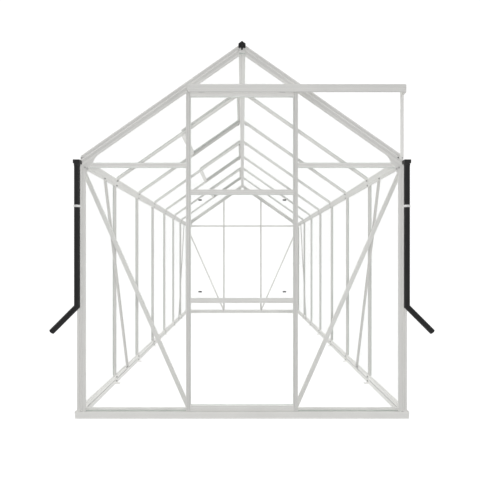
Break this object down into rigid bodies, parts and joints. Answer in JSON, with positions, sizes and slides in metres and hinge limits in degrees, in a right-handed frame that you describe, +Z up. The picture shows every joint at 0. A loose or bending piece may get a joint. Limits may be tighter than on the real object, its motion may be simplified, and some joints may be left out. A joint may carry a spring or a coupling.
{
  "type": "glass greenhouse",
  "caption": "Glass greenhouse with an aluminium bar frame, apex roof, sliding front door on a rail, roof vents, diagonal braces, eaves gutters and downpipes.",
  "frame": {"origin": "centre of the bounding box, on the ground under the base rails", "axes": "+X to the right seen from the door, the way the door slides open; -Y is the door side, +Y the back; +Z up"},
  "size_m": [2.1918, 4.4354, 2.171],
  "materials": {
    "aluminium": "satin mill finish, extruded",
    "glass": "clear float glass",
    "black_plastic": "satin moulded",
    "white_plastic": "satin moulded",
    "roller_nylon": "satin moulded"
  },
  "bodies": {
    "frame": {"end_base_rails": "aluminium", "side_base_rails": "aluminium", "end_sills": "aluminium", "side_sills": "aluminium", "corner_posts": "aluminium", "door_posts": "aluminium", "rear_gable_bars": "aluminium", "left_wall_bars": "aluminium", "right_wall_bars": "aluminium", "left_eaves_gutter": "aluminium", "right_eaves_gutter": "aluminium", "ridge_beam": "aluminium", "left_roof_bars": "aluminium", "right_roof_bars": "aluminium", "gable_rafters": "aluminium", "front_gable_crossbars": "aluminium", "rear_gable_crossbars": "aluminium", "door_header": "aluminium", "gable_braces": "aluminium", "wall_braces": "aluminium", "eaves_corner_plates": "aluminium", "door_rail": "aluminium", "door_rail_caps": "aluminium", "door_rail_strut": "aluminium", "roof_vent_frames": "aluminium", "roof_vent_glass": "glass", "roof_vent_sills": "aluminium", "gutter_outlets": "black_plastic", "gutter_end_caps": "black_plastic", "downpipes": "black_plastic", "downpipe_spouts": "black_plastic", "pipe_clips": "white_plastic", "ridge_end_caps": "black_plastic", "base_brackets": "aluminium", "front_glass": "glass", "rear_glass": "glass", "left_wall_glass": "glass", "right_wall_glass": "glass", "left_roof_glass": "glass", "right_roof_glass": "glass"},
    "door": {"door_stiles": "aluminium", "door_crossbars": "aluminium", "door_glass": "glass", "door_rollers": "roller_nylon", "door_glass_clips": "black_plastic"}
  },
  "joints": [
    {"name": "door_slide", "type": "slide", "parent": "frame", "child": "door", "axis": [1, 0, 0], "range_m": [0, 0.58]}
  ]
}
